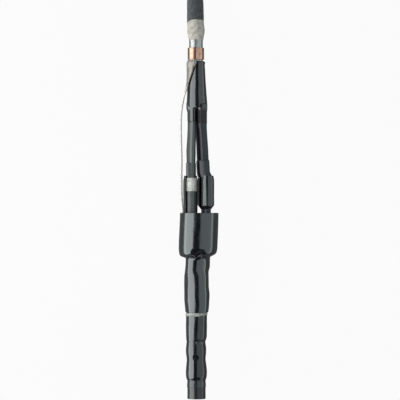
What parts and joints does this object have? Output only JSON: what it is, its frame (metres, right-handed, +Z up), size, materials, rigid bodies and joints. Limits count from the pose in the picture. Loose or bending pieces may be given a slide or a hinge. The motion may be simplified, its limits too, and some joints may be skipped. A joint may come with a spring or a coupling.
{
  "type": "cable joint",
  "caption": "Straight heat-shrink transition joint between a lead-sheathed paper cable and an armoured plastic cable, opened to show cores, ferrules, screens, earth braid and sleeves.",
  "frame": {"origin": "centre of the bottom of the bounding box, on the floor under the middle of the length", "axes": "+Y along the joint towards the cut end of the upper cable, +Z up towards the camera of the picture, +X to the picture's right"},
  "size_m": [0.1188, 1.196, 0.1128],
  "materials": {
    "serving": "matte",
    "bedding": "matte",
    "lead": "satin",
    "paper": "matte",
    "copper": "polished",
    "braid": "satin",
    "moulding": "glossy",
    "conductor": "satin",
    "barrier": "satin",
    "core_tube": "satin",
    "ferrule": "satin",
    "wrap": "matte",
    "inner_tube": "satin",
    "mesh": "satin",
    "sleeve": "glossy",
    "insulation": "satin",
    "outer_sleeve": "glossy",
    "mastic": "matte",
    "armour": "satin",
    "sheath": "satin",
    "filler": "matte",
    "tape": "satin"
  },
  "bodies": {
    "root": {"upper_serving": "serving", "upper_bedding": "bedding", "lead_sheath": "lead", "belt_insulation": "paper", "upper_filler": "paper", "earth_clamp": "copper", "earth_braid": "braid", "lower_earth_clamp": "copper", "upper_breakout": "moulding", "left_upper_conductor": "conductor", "right_upper_conductor": "conductor", "back_upper_conductor": "conductor", "left_paper_insulation": "paper", "right_paper_insulation": "paper", "back_paper_insulation": "paper", "left_oil_barrier": "barrier", "right_oil_barrier": "barrier", "back_oil_barrier": "barrier", "left_core_tube": "core_tube", "right_core_tube": "core_tube", "back_core_tube": "core_tube", "left_ferrule": "ferrule", "right_ferrule": "ferrule", "back_ferrule": "ferrule", "left_ferrule_wrap": "wrap", "right_ferrule_wrap": "wrap", "back_ferrule_wrap": "wrap", "left_inner_tube": "inner_tube", "right_inner_tube": "inner_tube", "back_inner_tube": "inner_tube", "left_screen_mesh": "mesh", "right_screen_mesh": "mesh", "back_screen_mesh": "mesh", "left_sleeve_opened": "sleeve", "right_sleeve": "sleeve", "back_sleeve": "sleeve", "left_lower_conductor": "conductor", "right_lower_conductor": "conductor", "back_lower_conductor": "conductor", "left_lower_insulation": "insulation", "right_lower_insulation": "insulation", "back_lower_insulation": "insulation", "left_lower_tube": "core_tube", "right_lower_tube": "core_tube", "back_lower_tube": "core_tube", "lower_breakout": "moulding", "outer_sleeve": "outer_sleeve", "seal_mastic": "mastic", "end_sleeve": "outer_sleeve", "armour_clamp": "armour", "lower_bedding": "sheath", "armour_wires": "armour", "lower_sheath": "sheath", "lower_filler": "filler", "end_tape": "tape"}
  },
  "joints": []
}
